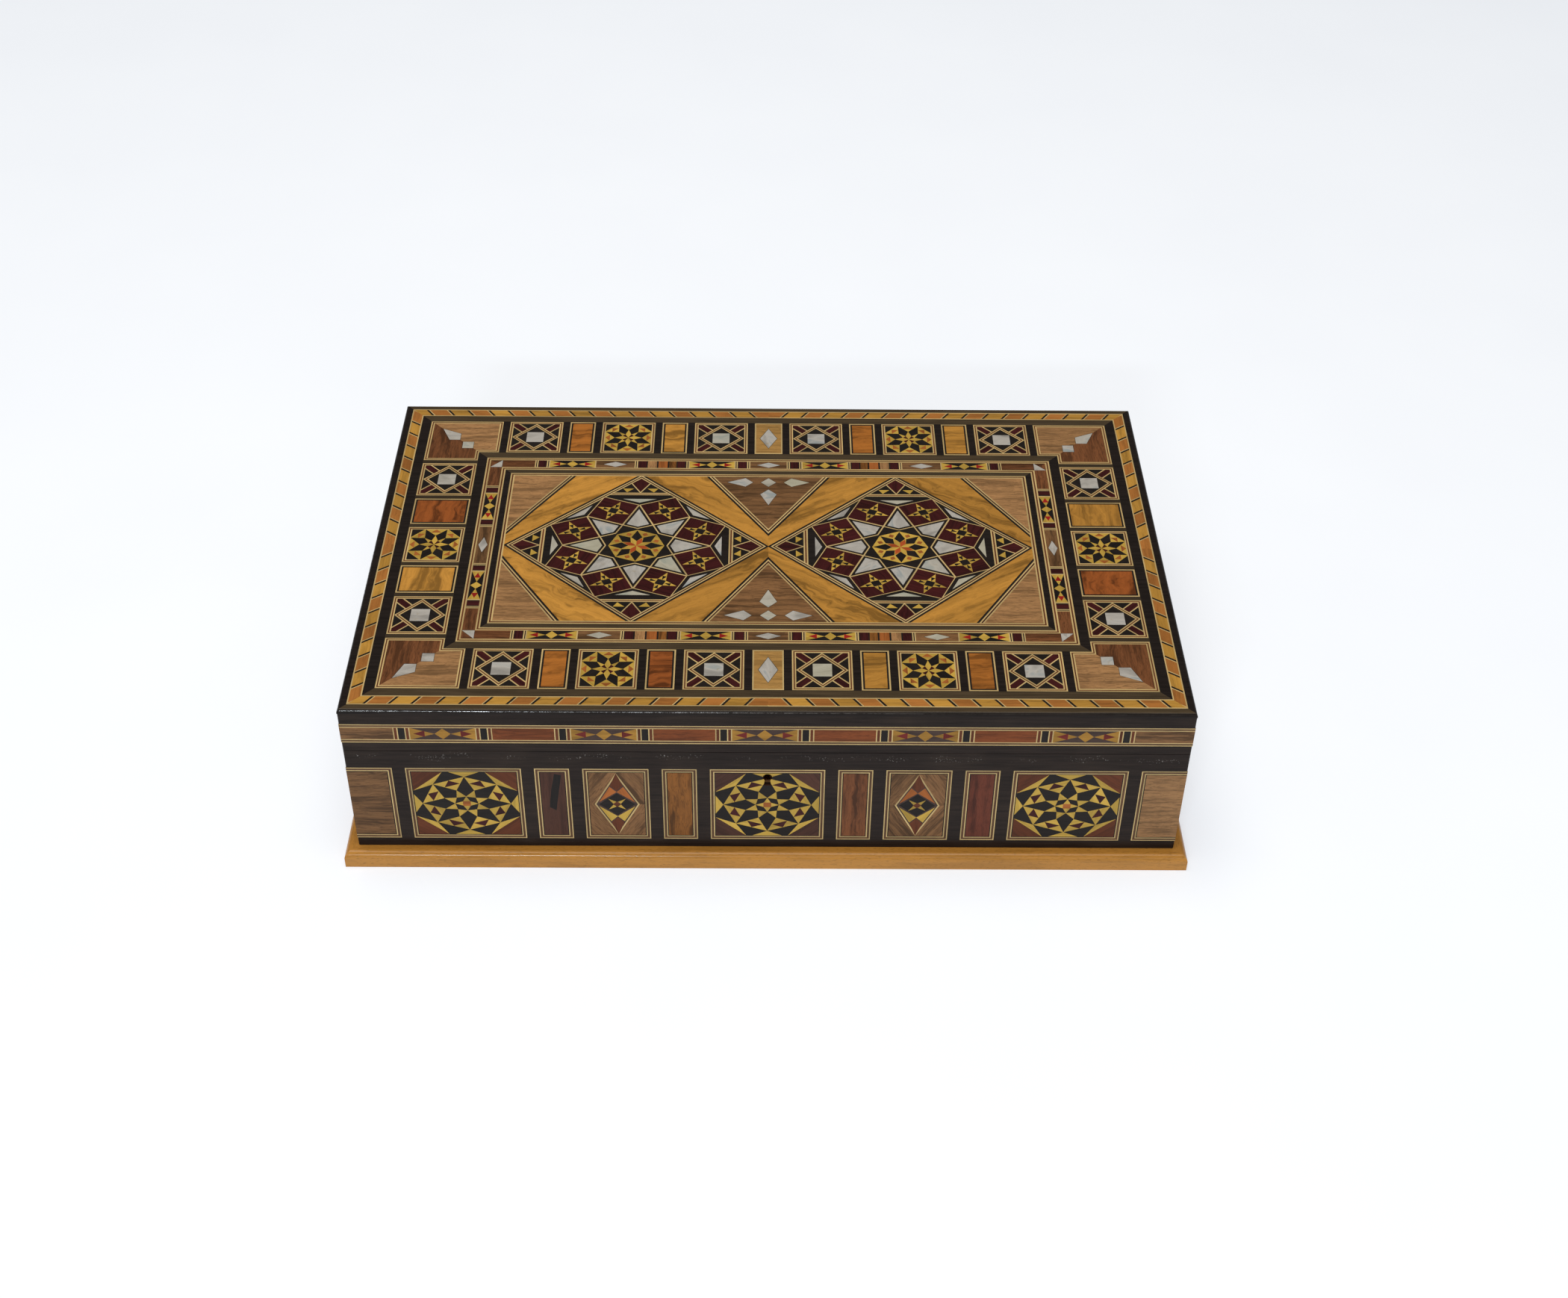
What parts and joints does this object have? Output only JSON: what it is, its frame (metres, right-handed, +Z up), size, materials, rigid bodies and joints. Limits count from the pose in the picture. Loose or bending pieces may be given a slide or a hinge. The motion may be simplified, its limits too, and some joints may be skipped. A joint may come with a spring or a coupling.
{
  "type": "inlaid wooden box",
  "caption": "Rectangular hinged wooden box with star and mother-of-pearl marquetry, a projecting plinth, a velvet-lined inside and a small key lock in its front.",
  "frame": {"origin": "middle of the box's foot, on the surface that it stands on", "axes": "+X along the front to the right, +Y from the front to the hinged back, +Z up"},
  "size_m": [0.289, 0.185, 0.0684],
  "materials": {
    "beech": "warm beech with short dark flecks, satin lacquer, mitred corners",
    "carcase_wood": "plain light wood boards, unseen once veneered",
    "dark_ground": "near-black brown wood sheet under glossy lacquer",
    "star_mosaic": "slices of rod bundles: black, yellow, orange and dark red slivers, glossy lacquer",
    "pearl_mosaic": "black and dark red slivers between cream lines round a pearl square, glossy lacquer",
    "band_mosaic": "band of motifs, stripes and wood panels between cream lines, glossy lacquer",
    "rope_mosaic": "slanted yellow and orange blocks between black and cream lines, glossy lacquer",
    "strip_woods": "upright slivers of rosewood, walnut and red wood, glossy lacquer",
    "golden_wood": "golden wood with dark streaks, glossy lacquer",
    "walnut": "mid-brown walnut with fine grain, glossy lacquer",
    "light_walnut": "light walnut with fine grain, glossy lacquer",
    "cream_line": "pale stringing wood, glossy lacquer",
    "black_wood": "black-dyed slivers, glossy lacquer",
    "dark_red_wood": "dark red dyed slivers, glossy lacquer",
    "yellow_wood": "yellow lemonwood slivers, glossy lacquer",
    "orange_wood": "orange-brown slivers, glossy lacquer",
    "mother_of_pearl": "silvery shell with soft bands of colour, polished",
    "velvet": "wine-red short-pile velvet on card",
    "felt": "dark green thin felt",
    "brass": "lightly brushed brass",
    "steel": "plain steel sheet"
  },
  "bodies": {
    "case": {"plinth_front": "beech", "plinth_back": "beech", "plinth_left": "beech", "plinth_right": "beech", "base_felt": "felt", "bottom_panel": "carcase_wood", "wall_front": "carcase_wood", "wall_back": "carcase_wood", "wall_left": "carcase_wood", "wall_right": "carcase_wood", "veneer_front": "dark_ground", "veneer_back": "dark_ground", "veneer_left": "dark_ground", "veneer_right": "dark_ground", "front_star_panels": "star_mosaic", "front_diamond_panels": "star_mosaic", "front_wood_strips": "strip_woods", "front_end_panels": "walnut", "side_inlay_panels": "star_mosaic", "back_inlay_panels": "star_mosaic", "floor_lining": "velvet", "lining_front": "velvet", "lining_back": "velvet", "lining_left": "velvet", "lining_right": "velvet", "lock_case": "steel", "lock_plate": "brass", "lock_screws": "brass", "lock_spring": "steel", "hinge_lower_leaves": "brass", "hinge_pins": "brass", "hinge_lower_screws": "brass"},
    "lid": {"lid_panel": "carcase_wood", "lid_wall_front": "carcase_wood", "lid_wall_back": "carcase_wood", "lid_wall_left": "carcase_wood", "lid_wall_right": "carcase_wood", "lid_lining": "velvet", "lid_band_front": "band_mosaic", "lid_band_back": "band_mosaic", "lid_bands_side": "band_mosaic", "lid_veneer_front": "dark_ground", "lid_veneer_back": "dark_ground", "lid_veneer_left": "dark_ground", "lid_veneer_right": "dark_ground", "top_ground": "dark_ground", "rope_band": "rope_mosaic", "star_tiles": "star_mosaic", "pearl_square_tiles": "pearl_mosaic", "olive_wood_tiles": "golden_wood", "pearl_diamond_tiles": "walnut", "corner_panels": "walnut", "inner_band": "band_mosaic", "central_field": "golden_wood", "medallions": "star_mosaic", "hinge_upper_leaves": "brass", "hinge_upper_screws": "brass", "strike_plate": "brass", "strike_screws": "brass"},
    "lock_bolt": {"lock_bolt": "brass"}
  },
  "joints": [
    {"name": "lid_hinge", "type": "hinge", "parent": "case", "child": "lid", "pos_m": [0, 0.0864, 0.0505], "axis": [-1, 0, 0], "range_deg": [0, 100]},
    {"name": "lock_bolt_slide", "type": "slide", "parent": "case", "child": "lock_bolt", "axis": [1, 0, 0], "range_m": [0, 0.0035]}
  ]
}
